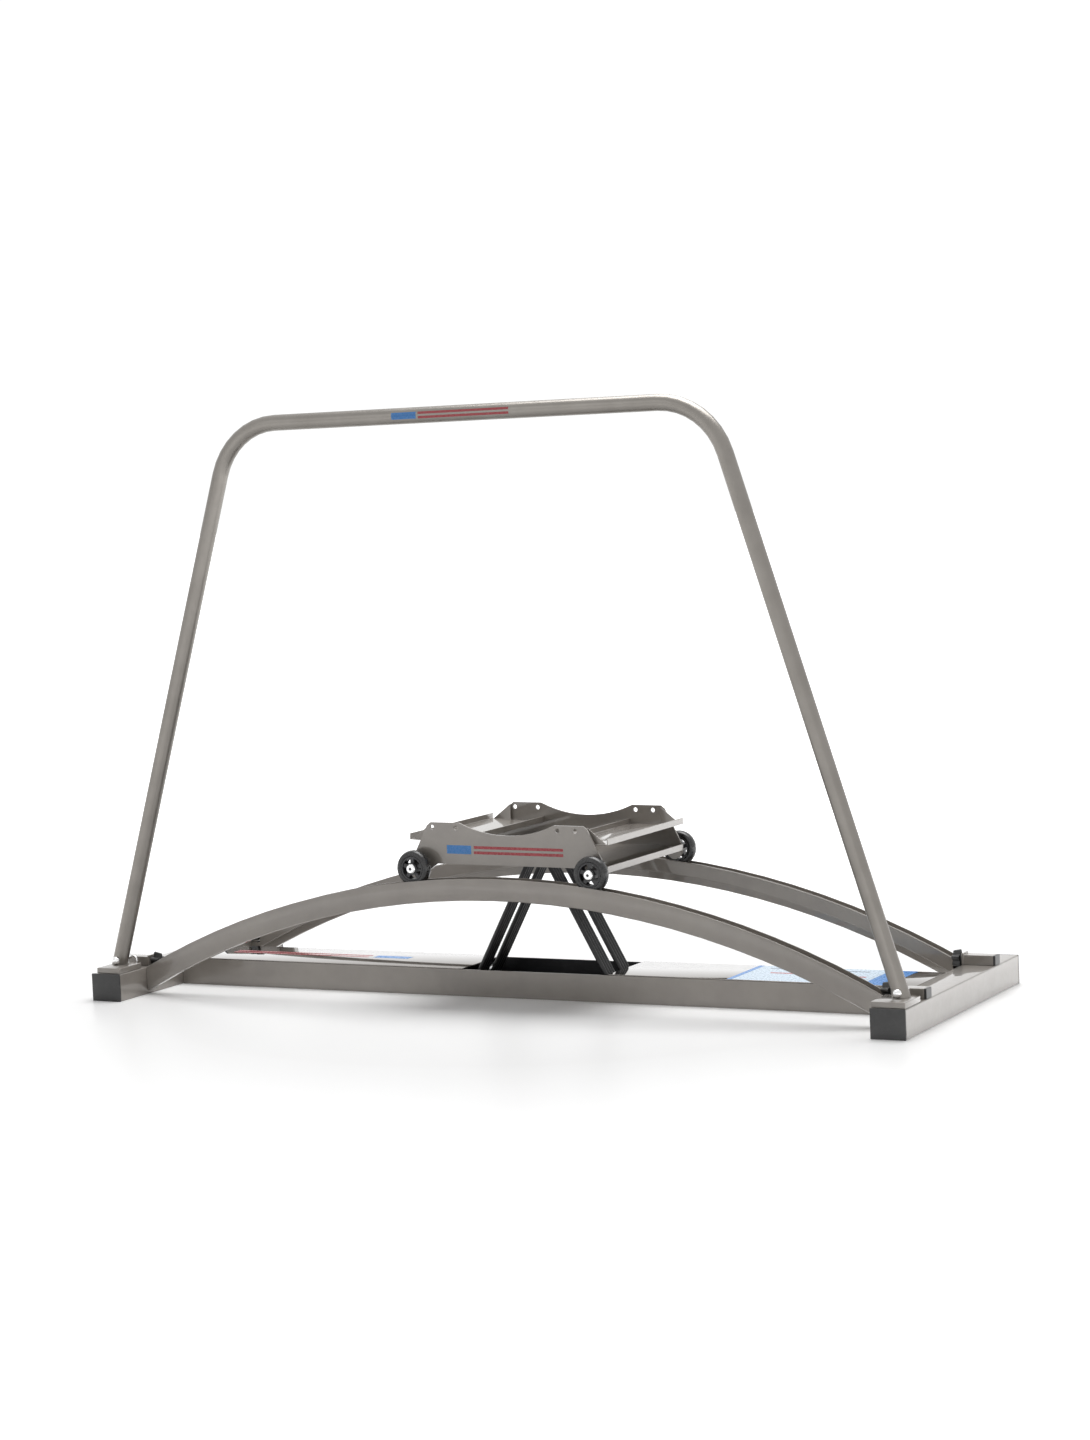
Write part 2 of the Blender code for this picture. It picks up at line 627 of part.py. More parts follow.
def make_hoop_bracket(side, sign):
    outer_inset = HOOP_PLATE_INSET_LEFT if side == "left" else HOOP_PLATE_INSET
    near, far = sorted((sign * (INNER_FACE + HOOP_PLATE_INSET), sign * (LENGTH / 2 - outer_inset)))
    front = -TUBE_HALF_DEPTH
    plate = box((near, front, STUB_FLOOR), (far, front + HOOP_PLATE_DEPTH, HOOP_PLATE_TOP), edge=EDGE_BREAK)
    bracket = add("hoop_bracket_" + side, plate, PAINT_GREY)
    radius = HOOP_RADIUS - HOOP_WALL - SPIGOT_CLEARANCE
    foot = STUB_FLOOR + HOOP_PLATE_HEIGHT / 2
    tip = HOOP_PLATE_TOP + SPIGOT_HEIGHT
    join(bracket, bar((sign * hoop_leg_x(foot), HOOP_PLANE, foot), (sign * hoop_leg_x(tip), HOOP_PLANE, tip),
                      radius, sides=24))
    spot = sign * hoop_leg_x(LOCK_LEVEL)
    cut(bracket, bar((spot, HOOP_PLANE - HOOP_TUBE, LOCK_LEVEL), (spot, HOOP_PLANE + HOOP_TUBE, LOCK_LEVEL),
                     LOCK_RADIUS + LOCK_CLEARANCE))
    shade(bracket)


def make_hoop_screw(side, sign):
    """Round-headed screw in the front of a hoop leg."""
    shank = HOOP_RADIUS
    profile = [(0, shank), (LOCK_RADIUS, shank), (LOCK_RADIUS, 0), (SCREW_HEAD_RADIUS, 0)]
    profile += [(SCREW_HEAD_RADIUS * wide, -SCREW_HEAD_HEIGHT * high) for wide, high in SCREW_DOME]
    profile.append((0, -SCREW_HEAD_HEIGHT))
    screw = add("hoop_screw_" + side, turned(profile, 20), BRIGHT_STEEL)
    screw.location = (sign * hoop_leg_x(LOCK_LEVEL), HOOP_PLANE - HOOP_RADIUS - GAP, LOCK_LEVEL)
    shade(screw)


def make_hoop_pin(side, sign):
    """Spring pin in the back of a hoop leg, drawn out along Y by its ring."""
    tip = HOOP_PLANE + HOOP_RADIUS - HOOP_WALL - SPIGOT_CLEARANCE - LOCK_ENGAGE
    tail = HOOP_PLANE + HOOP_RADIUS + LOCK_TAIL
    pin = add("hoop_pin_" + side, bar((0, tip - tail, 0), (0, 0, 0), LOCK_RADIUS), BRIGHT_STEEL)
    wire = [(PULL_RING_RADIUS + n, y) for n, y in circle(PULL_RING_WIRE, 8)]
    ring_y = -LOCK_RADIUS
    join(pin, moved(turned(wire, 24, ring=True), (-sign * RING_SWING, ring_y, -RING_DROP)))
    pin.location = (sign * hoop_leg_x(LOCK_LEVEL), tail, LOCK_LEVEL)
    shade(pin)


# Carriage, drawn about the arc's centre and turned to its rest angle by its pivot
def plate_outline():
    half_chord = PLATE_FLAT_INNER
    sag = PLATE_FLAT_RISE - PLATE_DIP_RISE
    dip_radius = (half_chord ** 2 + sag ** 2) / (2 * sag)
    dip_centre = PLATE_DIP_RISE + dip_radius
    sweep_angle = math.asin(half_chord / dip_radius)
    top = []
    for i in range(DIP_STEPS + 1):
        angle = sweep_angle * (2 * i / DIP_STEPS - 1)
        top.append((dip_radius * math.sin(angle), dip_centre - dip_radius * math.cos(angle)))
    shoulder = AXLE_HALF_SPAN - PLATE_SHOULDER_INSET
    right = [(PLATE_FLAT_OUTER, PLATE_FLAT_RISE),
             (shoulder, PLATE_FLAT_RISE - (shoulder - PLATE_FLAT_OUTER) * math.tan(PLATE_SLANT)),
             (AXLE_HALF_SPAN + PLATE_HIP_OVERHANG, PLATE_HIP_RISE)]
    for i in range(EAR_STEPS + 1):
        angle = PLATE_EAR_START + (PLATE_EAR_END - PLATE_EAR_START) * i / EAR_STEPS
        right.append((AXLE_HALF_SPAN + PLATE_EAR_RADIUS * math.cos(angle), PLATE_EAR_RADIUS * math.sin(angle)))
    right.append((AXLE_HALF_SPAN - PLATE_FOOT_INSET, PLATE_BOTTOM_RISE))
    left = [(-x, z) for x, z in reversed(right)]
    return [(x, AXLE_LEVEL + z) for x, z in top + right + left]


def make_side_plate(row, sign, carriage):
    near, far = sorted((sign * PLATE_INNER_FACE, sign * PLATE_OUTER_FACE))
    plate = add("side_plate_" + row, prism(plate_outline(), near, far), PAINT_GREY)
    reach = PLATE_THICKNESS
    hole_level = AXLE_LEVEL + PLATE_FLAT_RISE - PLATE_HOLE_DROP
    for side, way in SIDES:
        holes = ((PLATE_FLAT_INNER + PLATE_HOLE_INNER_INSET, hole_level, PLATE_HOLE_RADIUS),
                 (PLATE_FLAT_OUTER - PLATE_HOLE_OUTER_INSET[side], hole_level, PLATE_HOLE_RADIUS),
                 (AXLE_HALF_SPAN, AXLE_LEVEL, AXLE_SHAFT + AXLE_CLEARANCE))
        for span, level, radius in holes:
            cut(plate, bar((way * span, near - reach, level), (way * span, far + reach, level), radius))
    shade(parented(plate, carriage), 30)


def make_foot_tray(side, sign, carriage):
    """A folded U between the side plates, with a gusset inside each plate's slanted shoulder."""
    wall = TRAY_THICKNESS
    wide = TRAY_WIDTH
    high = TRAY_FLANGE
    section = [(0, 0), (wide, 0), (wide, high), (wide - wall, high), (wide - wall, wall), (wall, wall),
               (wall, high), (0, high)]
    inside = PLATE_INNER_FACE - GAP
    tray = add("foot_tray_" + side, prism(section, -inside, inside), PAINT_GREY)
    turn = Matrix.Rotation(-TRAY_TILT, 4, "Y")
    outer = AXLE_HALF_SPAN + TRAY_AXLE_OVERHANG
    outer_corner = turn @ Vector((wide, 0, 0))
    shift = Vector((outer, 0, AXLE_LEVEL + TRAY_FLOOR_RISE)) - outer_corner
    tray.data.transform(Matrix.Translation(shift) @ turn)
    fall, climb = math.tan(PLATE_SLANT), math.tan(TRAY_TILT)
    floor = AXLE_LEVEL + TRAY_FLOOR_RISE + wall / 2 - outer * climb
    shoulder = AXLE_LEVEL + PLATE_FLAT_RISE + PLATE_FLAT_OUTER * fall
    root = AXLE_HALF_SPAN - GUSSET_INSET
    tip = (shoulder - floor) / (fall + climb)
    gusset = [(root, floor + root * climb), (tip, floor + tip * climb), (root, shoulder - root * fall)]
    for row, row_sign in ROWS:
        face = row_sign * (inside - GUSSET_SETBACK)
        near, far = sorted((face, face - row_sign * wall))
        join(tray, prism(gusset, near, far))
    if sign < 0:
        tray.data.transform(Matrix.Scale(-1, 4, Vector((1, 0, 0))))
        tray.data.flip_normals()
    shade(parented(tray, carriage))


def make_lower_pan(carriage):
    """Folded sheet between the plates that follows their lower edges down to its end flanges."""
    half = AXLE_HALF_SPAN + PAN_AXLE_OVERHANG
    knee = AXLE_HALF_SPAN - PLATE_FOOT_INSET
    wall = PAN_THICKNESS
    floor = AXLE_LEVEL + PLATE_BOTTOM_RISE + PAN_LIFT
    end = floor - PAN_END_DROP
    section = [(-half, end), (-knee, floor), (knee, floor), (half, end), (half, end + PAN_FLANGE),
               (half - wall, end + PAN_FLANGE), (half - wall, end + wall), (knee, floor + wall),
               (-knee, floor + wall), (-half + wall, end + wall), (-half + wall, end + PAN_FLANGE),
               (-half, end + PAN_FLANGE)]
    inside = PLATE_INNER_FACE - GAP
    pan = add("lower_pan", prism(section, -inside, inside), PAINT_GREY)
    slot = (PAN_SLOT_LENGTH / 2, PAN_SLOT_DEPTH / 2)
    cut(pan, box((-slot[0], -slot[1], floor - wall), (slot[0], slot[1], floor + 2 * wall)))
    notch = AXLE_NUT_RADIUS + NUT_RELIEF
    depth = AXLE_NUT_LENGTH + NUT_RELIEF
    for row, row_sign in ROWS:
        for side, sign in SIDES:
            near, far = sorted((row_sign * (PLATE_INNER_FACE - depth), row_sign * PLATE_OUTER_FACE))
            spot = sign * AXLE_HALF_SPAN
            cut(pan, box((spot - notch, near, end - wall), (spot + notch, far, floor + 2 * wall)))
    shade(parented(pan, carriage))


def make_pull_bar(carriage):
    """Cross bar and block inside the carriage that the four bands pull on."""
    level = AXLE_LEVEL + PULL_BAR_RISE
    half_x, half_y = PULL_BLOCK_LENGTH / 2, PULL_BLOCK_DEPTH / 2
    block = box((-half_x, -half_y, PULL_BLOCK_FLOOR), (half_x, half_y, level + PULL_BAR_RADIUS / 4),
                edge=BAND_END_CLEARANCE)
    pull = add("band_pull_bar", block, PAINT_GREY)
    inside = PLATE_INNER_FACE - GAP
    join(pull, bar((0, -inside, level), (0, inside, level), PULL_BAR_RADIUS, sides=24))
    shade(parented(pull, carriage))


def make_axle(name, row_sign, wheel):
    """Shoulder axle of one wheel: nut, shaft, spacing collar and socket head, turned about Y."""
    plate_in = PLATE_INNER_FACE - RAIL_PLANE - GAP
    plate_out = PLATE_OUTER_FACE - RAIL_PLANE + GAP
    hub = HUB_BOSS_WIDTH / 2 + GAP
    head = hub + AXLE_HEAD_HEIGHT
    profile = [(0, plate_in - AXLE_NUT_LENGTH), (AXLE_NUT_RADIUS, plate_in - AXLE_NUT_LENGTH),
               (AXLE_NUT_RADIUS, plate_in), (AXLE_SHAFT, plate_in), (AXLE_SHAFT, plate_out),
               (AXLE_COLLAR_RADIUS, plate_out), (AXLE_COLLAR_RADIUS, -hub), (AXLE_SHAFT, -hub),
               (AXLE_SHAFT, hub), (AXLE_HEAD_RADIUS, hub), (AXLE_HEAD_RADIUS, hub + AXLE_HEAD_HEIGHT / 2),
               (AXLE_HEAD_RADIUS * AXLE_HEAD_TAPER, head), (SOCKET_RADIUS, head), (SOCKET_RADIUS, head - SOCKET_DEPTH),
               (0, head - SOCKET_DEPTH)]
    axle = add("axle_bolt_" + name, turned([(r, row_sign * y) for r, y in profile], 18), BRIGHT_STEEL)
    shade(parented(axle, wheel))


def make_wheel(name, wheel):
    half = WHEEL_WIDTH / 2
    seat = WHEEL_RADIUS - TYRE_THICKNESS
    rim = seat - GAP
    crown_steps = 6
    tread = []
    for i in range(crown_steps + 1):
        across = -1 + 2 * i / crown_steps
        tread.append((WHEEL_RADIUS - TYRE_CROWN * across ** 2, half * across * TREAD_SHARE))
    profile = [(seat, -half + TYRE_EDGE / 3), (seat + TYRE_EDGE / 2, -half)] + tread
    profile += [(seat + TYRE_EDGE / 2, half), (seat, half - TYRE_EDGE / 3)]
    tyre = add("wheel_tyre_" + name, turned(profile, WHEEL_SIDES, ring=True), TYRE_BLACK)
    shade(parented(tyre, wheel), 50)

    bore = AXLE_SHAFT + AXLE_CLEARANCE
    boss = HUB_BOSS_WIDTH / 2
    web = SPOKE_WEB / 2
    rim_half = half - TYRE_EDGE / 3
    profile = [(bore, -boss), (HUB_BOSS_RADIUS, -boss), (HUB_BOSS_RADIUS, -web), (rim - HUB_RIM, -web),
               (rim - HUB_RIM, -rim_half), (rim, -rim_half), (rim, rim_half), (rim - HUB_RIM, rim_half),
               (rim - HUB_RIM, web), (HUB_BOSS_RADIUS, web), (HUB_BOSS_RADIUS, boss), (bore, boss)]
    hub = add("wheel_hub_" + name, turned(profile, WHEEL_SIDES, ring=True), HUB_DARK)
    low, high = HUB_BOSS_RADIUS, rim - HUB_RIM
    for i in range(SPOKE_COUNT):
        middle = 2 * math.pi * (i + 0.5) / SPOKE_COUNT
        outline = []
        for radius, way in ((low + GAP, 1), (high - GAP, -1)):
            spread = math.pi / SPOKE_COUNT - math.asin(SPOKE_WIDTH / 2 / radius)
            for step in (-1, -0.5, 0, 0.5, 1):
                angle = middle + way * step * spread
                outline.append((radius * math.sin(angle), radius * math.cos(angle)))
        cut(hub, prism(outline, -half, half))
    shade(parented(hub, wheel))


# Bands
def band_outline():
    """Outline of cords lying side by side along Y and fused where they touch."""
    dip = math.acos(CORD_PITCH / 2 / CORD_RADIUS)
    points = []
    for way in (1, -1):
        for i in range(CORDS_PER_BAND):
            centre = way * CORD_PITCH * (i - (CORDS_PER_BAND - 1) / 2)
            begin = math.pi if i == 0 else math.pi - dip
            end = 0.0 if i == CORDS_PER_BAND - 1 else dip
            for step in range(CORD_ARC_STEPS):
                angle = begin + (end - begin) * step / CORD_ARC_STEPS
                points.append((way * CORD_RADIUS * math.sin(angle), centre + way * CORD_RADIUS * math.cos(angle)))
    return points


def make_band(row, row_sign, side, sign):
    begin = ANCHOR_SPAN - ANCHOR_THICKNESS / 2 - BAND_END_CLEARANCE
    turn = math.pi / 2 - BAND_LEAN
    roller_foot = ROLLER_SPREAD
    leave = ROLLER_LEVEL - BAND_ORBIT * math.sin(BAND_LEAN)
    rise = (BAND_TOP - leave) / math.cos(BAND_LEAN)
    path = [("line", begin - roller_foot, 0, 0), ("arc", BAND_ORBIT, -turn, BAND_BEND_STEPS),
            ("line", rise, 0, 0)]
    band = sweep(band_outline(), (begin, BAND_RUN_HEIGHT), math.pi, path, end_level=BAND_TOP)
    if sign < 0:
        bmesh.ops.scale(band, vec=(-1, 1, 1), verts=band.verts)
        bmesh.ops.reverse_faces(band, faces=band.faces)
    place = (WORK_CENTRE, row_sign * BAND_SPACING / 2, 0)
    shade(add("elastic_band_" + row + "_" + side, moved(band, place), BAND_BLACK), 60)


def make_roller(side, sign):
    spot = WORK_CENTRE + sign * ROLLER_SPREAD
    half = ROLLER_LENGTH / 2
    bore = ROLLER_AXLE_RADIUS + ROLLER_AXLE_CLEARANCE
    low, high, rim = ROLLER_RADIUS, ROLLER_FLANGE_RADIUS, half - ROLLER_FLANGE
    profile = [(bore, -half), (high, -half), (high, -rim), (low, -rim), (low, rim), (high, rim), (high, half),
               (bore, half)]
    roller = add("band_roller_" + side, turned(profile, 24, ring=True), BRIGHT_STEEL)
    roller.location = (spot, 0, ROLLER_LEVEL)
    shade(roller)
    inside = BEAM_INSIDE - GAP
    axle = add("roller_axle_" + side, bar((0, -inside, 0), (0, inside, 0), ROLLER_AXLE_RADIUS), BRIGHT_STEEL)
    axle.location = (spot, 0, ROLLER_LEVEL)
    shade(axle)


def make_anchor(side, sign):
    spot = WORK_CENTRE + sign * ANCHOR_SPAN
    half = ANCHOR_THICKNESS / 2
    inside = BEAM_INSIDE - GAP
    floor = BEAM_WALL + GAP
    plate = box((spot - half, -inside, floor), (spot + half, inside, floor + ANCHOR_HEIGHT), edge=EDGE_BREAK)
    shade(add("band_anchor_" + side, plate, PAINT_GREY))


def build():
    clear_scene()
    make_beam()
    make_liner()
    make_hoop()
    for side, sign in SIDES:
        make_crossbar(side, sign)
        make_cover(side, sign)
        make_hoop_bracket(side, sign)
        make_hoop_screw(side, sign)
        make_hoop_pin(side, sign)
        make_roller(side, sign)
        make_anchor(side, sign)
    for row, row_sign in ROWS:
        make_rail(row, row_sign)
        for side, sign in SIDES:
            make_crossbar_cap(row, row_sign, side, sign)
            make_clamp(row, row_sign, side, sign)
            make_knob(row, row_sign, side, sign)
            make_band(row, row_sign, side, sign)

    carriage = pivot("carriage_pivot", (0, 0, ARC_CENTRE), REST_ANGLE)
    make_lower_pan(carriage)
    make_pull_bar(carriage)
    for side, sign in SIDES:
        make_foot_tray(side, sign, carriage)
    for row, row_sign in ROWS:
        make_side_plate(row, row_sign, carriage)
        for side, sign in SIDES:
            name = row + "_" + side
            spot = (sign * AXLE_HALF_SPAN, row_sign * RAIL_PLANE, AXLE_LEVEL)
            wheel = pivot("wheel_pivot_" + name, spot, parent=carriage)
            make_axle(name, row_sign, wheel)
            make_wheel(name, wheel)
    bpy.context.view_layer.update()


build()
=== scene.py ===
# Looks of a ski simulator: a wheeled foot carriage on two arched rails, with a hand hoop.
import json
import math

import bmesh
import bpy
from mathutils import Matrix, Vector

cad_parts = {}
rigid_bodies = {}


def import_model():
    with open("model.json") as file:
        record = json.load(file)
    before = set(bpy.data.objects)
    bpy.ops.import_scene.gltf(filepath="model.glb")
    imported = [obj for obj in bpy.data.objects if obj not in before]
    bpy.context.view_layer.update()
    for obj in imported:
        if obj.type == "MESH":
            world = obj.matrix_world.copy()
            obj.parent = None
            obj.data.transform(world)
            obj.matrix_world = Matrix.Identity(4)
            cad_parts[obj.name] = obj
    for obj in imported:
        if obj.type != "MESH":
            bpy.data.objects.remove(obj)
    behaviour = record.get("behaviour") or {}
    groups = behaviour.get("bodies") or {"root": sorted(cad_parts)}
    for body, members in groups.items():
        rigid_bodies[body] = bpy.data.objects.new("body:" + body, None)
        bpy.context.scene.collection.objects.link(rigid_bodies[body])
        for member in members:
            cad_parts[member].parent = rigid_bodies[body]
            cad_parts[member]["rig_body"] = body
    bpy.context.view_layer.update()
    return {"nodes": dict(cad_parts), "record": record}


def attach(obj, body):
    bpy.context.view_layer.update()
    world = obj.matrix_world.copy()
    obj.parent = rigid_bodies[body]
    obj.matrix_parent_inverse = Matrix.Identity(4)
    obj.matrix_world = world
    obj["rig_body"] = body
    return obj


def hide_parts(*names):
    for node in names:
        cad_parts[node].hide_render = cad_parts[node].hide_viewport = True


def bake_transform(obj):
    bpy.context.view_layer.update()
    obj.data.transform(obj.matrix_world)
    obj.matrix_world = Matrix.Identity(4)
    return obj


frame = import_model()

SIDES = (("left", -1), ("right", 1))
ROWS = (("front", -1), ("rear", 1))
MM_PER_M = 1000

# Places that the solids set, in metres
CENTRE_X = 0.020
BEAM_TOP = 0.060
RAIL_Y = 0.2127
HOOP_Y = -0.266
HOOP_R = 0.01685
HOOP_TOP = 1.250
KNOB_R = 0.020

# The carriage, drawn upright about the arc's centre and turned to its rest: the front plate's
# face, the height of its films, the wheels' axles, and how far a bolt's head is from the rail
ARC_Z = -1.59519
REST_TURN = 0.010526
PLATE_FACE_Y = -0.1872
PLATE_MIDDLE = 1.9232
WHEEL_X = 0.2075
AXLE_ORBIT = 1.88481
BOLT_REACH = 0.0175

# Drives in the wheel bolts' heads
RECESS_R = 0.0041
HEXAGON_HALF = 0.0029
DRIVE_TALL = 0.0028
DRIVE_BELOW_HEAD = 0.00285
BOTTOM_BELOW_HEAD = 0.00288
BOTTOM_R = 0.0038
BOTTOM_THICK = 0.0002

# Bands: x where a bundle leaves the beam, its slope, its run round the roller and under the cover,
# and the shares of its height at which its parts meet
CORD_R = 0.0050
CORD_PITCH = 0.0107
CORD_SIDES = 20
BAND_Y = 0.0345
BAND_SLOPE = 0.5411
BAND_AT_BEAM = 0.146
BAND_TOP = 0.3055
ROLLER_Z = 0.0358
BAND_ORBIT = 0.0158
RUN_Z = 0.020
RUN_END = 0.614
BAND_SHARES = (0.0, 0.06, 0.2, 0.4, 0.6, 0.8, 0.94, 1.0)

# Printed films: thickness, and half widths of the red bars and lines
FILM = 0.00012
RED_BAR_HALF = 0.005
RED_LINE_HALF = 0.004

# Edge breaks and slopes that the solids leave out
EDGE_LIMIT = math.radians(35)
FLAT_LIMIT = math.radians(0.5)
SAME_POINT = 0.00001
KNOB_FACE_SHARE = 0.85
KNOB_FACE_DEPTH = 0.001


def linear(code):
    """sRGB hex to linear RGBA."""
    parts = [int(code[i:i + 2], 16) / 255 for i in (1, 3, 5)]
    light = [c / 12.92 if c <= 0.04045 else ((c + 0.055) / 1.055) ** 2.4 for c in parts]
    return (*light, 1.0)


# Materials
def fill(node, **sockets):
    """Links a node's sockets to outputs, or sets them. Each is named, or is _ and its number."""
    for key, value in sockets.items():
        name = key.replace("_", " ").strip()
        target = node.inputs[int(name)] if name.isdigit() else node.inputs[name]
        if isinstance(value, bpy.types.NodeSocket):
            node.id_data.links.new(value, target)
        else:
            target.default_value = value


def add(tree, kind, out=None, settings=None, **sockets):
    """Adds a node with its settings and links. Gives the output that out names, or the node."""
    fresh = tree.nodes.new(kind)
    for key, value in (settings or {}).items():
        setattr(fresh, key, value)
    fill(fresh, **sockets)
    return fresh if out is None else fresh.outputs[out]


def start(name):
    """A new material with its tree, its shader and its object coordinates in metres."""
    material = bpy.data.materials.new(name)
    material.use_nodes = True
    tree = material.node_tree
    place = add(tree, "ShaderNodeTexCoord", "Object")
    return material, tree, tree.nodes["Principled BSDF"], place


# A Mix node's sockets have numbers here: its share is 0, its colours 6 and 7, its output 2
COLOURS = {"data_type": "RGBA"}
MIXED = 2
# Soft noise, of few octaves
SOFT = {"Detail": 3.0, "Roughness": 0.55}


def powder_coat(name, light, dark, rough, lacquer, metal):
    """Sprayed and baked powder coat with aluminium flake, on steel, some of it lacquered: glossy,
    with a faint ripple and soft clouds."""
    material, tree, shader, place = start(name)
    cloud = add(tree, "ShaderNodeTexNoise", "Fac", Vector=place, Scale=MM_PER_M / 60, **SOFT)
    share = add(tree, "ShaderNodeMapRange", "Result", Value=cloud, From_Min=0.35, From_Max=0.65)
    tint = add(tree, "ShaderNodeMix", MIXED, COLOURS, _0=share, _6=linear(dark), _7=linear(light))
    haze = add(tree, "ShaderNodeTexNoise", "Fac", Vector=place, Scale=MM_PER_M / 11, **SOFT)
    dulled = add(tree, "ShaderNodeMapRange", "Result", Value=haze, From_Min=0.3, From_Max=0.7,
                 To_Min=rough, To_Max=rough + 0.06)
    # orange peel is 2 to 3 mm across in the real coat
    peel = add(tree, "ShaderNodeTexNoise", "Fac", Vector=place, Scale=MM_PER_M / 2.4, Detail=2.0,
               Roughness=0.55)
    relief = add(tree, "ShaderNodeBump", "Normal", Strength=0.5, Distance=0.012 / MM_PER_M,
                 Height=peel)
    fill(shader, Base_Color=tint, Roughness=dulled, Normal=relief, Metallic=metal,
         Coat_Weight=lacquer, Coat_Roughness=0.03)
    return material


def moulded_plastic(name, light, dark, rough, grain_mm=0.9, depth_mm=0.03):
    """Injection-moulded polypropylene, nylon or ABS: matte, with a fine grain and pale scuffs."""
    material, tree, shader, place = start(name)
    worn = add(tree, "ShaderNodeTexNoise", "Fac", Vector=place, Scale=MM_PER_M / 18, Detail=6.0,
               Roughness=0.7)
    scuff = add(tree, "ShaderNodeMapRange", "Result", Value=worn, From_Min=0.5, From_Max=0.75,
                To_Max=0.6)
    tint = add(tree, "ShaderNodeMix", MIXED, COLOURS, _0=scuff, _6=linear(dark), _7=linear(light))
    dulled = add(tree, "ShaderNodeMapRange", "Result", Value=scuff, From_Max=0.6, To_Min=rough,
                 To_Max=rough + 0.12)
    # the real grain is 0.2 mm across, drawn coarser so that it shows
    grain = add(tree, "ShaderNodeTexNoise", "Fac", Vector=place, Scale=MM_PER_M / grain_mm,
                Detail=2.0, Roughness=0.55)
    relief = add(tree, "ShaderNodeBump", "Normal", Strength=0.6, Distance=depth_mm / MM_PER_M,
                 Height=grain)
    fill(shader, Base_Color=tint, Roughness=dulled, Normal=relief, IOR=1.50)
    return material


def cast_urethane():
    """Cast polyurethane skate tyre: smooth, a little waxy, dulled and dusty where it rolls."""
    material, tree, shader, place = start("cast_polyurethane")
    rolled = add(tree, "ShaderNodeTexNoise", "Fac", Vector=place, Scale=MM_PER_M / 6, Detail=5.0,
                 Roughness=0.65)
    dust = add(tree, "ShaderNodeMapRange", "Result", Value=rolled, From_Min=0.42, From_Max=0.72)
    tint = add(tree, "ShaderNodeMix", MIXED, COLOURS, _0=dust, _6=linear("#19191A"),
               _7=linear("#2A2A2A"))
    dulled = add(tree, "ShaderNodeMapRange", "Result", Value=dust, To_Min=0.22, To_Max=0.42)
    # marks of a few millimetres, as on a wheel that has rolled
    marks = add(tree, "ShaderNodeTexNoise", "Fac", Vector=place, Scale=MM_PER_M / 2.2, **SOFT)
    relief = add(tree, "ShaderNodeBump", "Normal", Strength=0.4, Distance=0.04 / MM_PER_M,
                 Height=marks)
    fill(shader, Base_Color=tint, Roughness=dulled, Normal=relief, IOR=1.50, Coat_Weight=0.15,
         Coat_Roughness=0.3)
    return material


def latex_cord():
    """Extruded natural rubber cord: satin black, with an uneven drawn skin and a bloom of talc."""
    material, tree, shader, place = start("extruded_rubber")
    talc = add(tree, "ShaderNodeTexNoise", "Fac", Vector=place, Scale=MM_PER_M / 11, Detail=5.0,
               Roughness=0.7)
    bloom = add(tree, "ShaderNodeMapRange", "Result", Value=talc, From_Min=0.48, From_Max=0.78,
                To_Max=0.8)
    tint = add(tree, "ShaderNodeMix", MIXED, COLOURS, _0=bloom, _6=linear("#1F1F21"),
               _7=linear("#2A2A2C"))
    dulled = add(tree, "ShaderNodeMapRange", "Result", Value=bloom, From_Max=0.8, To_Min=0.42,
                 To_Max=0.56)
    skin = add(tree, "ShaderNodeTexNoise", "Fac", Vector=place, Scale=MM_PER_M / 1.4, Detail=4.0,
               Roughness=0.55)
    relief = add(tree, "ShaderNodeBump", "Normal", Strength=0.4, Distance=0.02 / MM_PER_M,
                 Height=skin)
    fill(shader, Base_Color=tint, Roughness=dulled, Normal=relief, IOR=1.52)
    return material


def plated_steel(name, grey, rough):
    """Turned and plated steel: mirror-like, with fine turning marks that soften the reflection."""
    material, tree, shader, place = start(name)
    cloud = add(tree, "ShaderNodeTexNoise", "Fac", Vector=place, Scale=MM_PER_M / 12, **SOFT)
    tint = add(tree, "ShaderNodeMix", MIXED, COLOURS, _0=cloud, _6=linear(grey),
               _7=linear("#F2F2F0"))
    haze = add(tree, "ShaderNodeTexNoise", "Fac", Vector=place, Scale=MM_PER_M / 3, Detail=4.0,
               Roughness=0.55)
    dulled = add(tree, "ShaderNodeMapRange", "Result", Value=haze, From_Min=0.3, From_Max=0.7,
                 To_Min=rough, To_Max=rough + 0.12)
    # turning marks are about 0.1 mm apart in real bolts, drawn coarser so that they show
    marks = add(tree, "ShaderNodeTexNoise", "Fac", Vector=place, Scale=MM_PER_M / 0.8, **SOFT)
    relief = add(tree, "ShaderNodeBump", "Normal", Strength=0.4, Distance=0.01 / MM_PER_M,
                 Height=marks)
    fill(shader, Base_Color=tint, Roughness=dulled, Normal=relief, Metallic=1.0)
    return material


def printed_vinyl(name, light, dark):
    """Screen-printed self-adhesive vinyl: flat colour under a satin film with a slight ripple."""
    material, tree, shader, place = start(name)
    ripple = add(tree, "ShaderNodeTexNoise", "Fac", Vector=place, Scale=MM_PER_M / 25, **SOFT)
    tint = add(tree, "ShaderNodeMix", MIXED, COLOURS, _0=ripple, _6=linear(dark), _7=linear(light))
    haze = add(tree, "ShaderNodeTexNoise", "Fac", Vector=place, Scale=MM_PER_M / 6, **SOFT)
    dulled = add(tree, "ShaderNodeMapRange", "Result", Value=haze, From_Min=0.3, From_Max=0.7,
                 To_Min=0.22, To_Max=0.34)
    relief = add(tree, "ShaderNodeBump", "Normal", Strength=0.4, Distance=0.02 / MM_PER_M,
                 Height=ripple)
    fill(shader, Base_Color=tint, Roughness=dulled, Normal=relief, IOR=1.50)
    return material


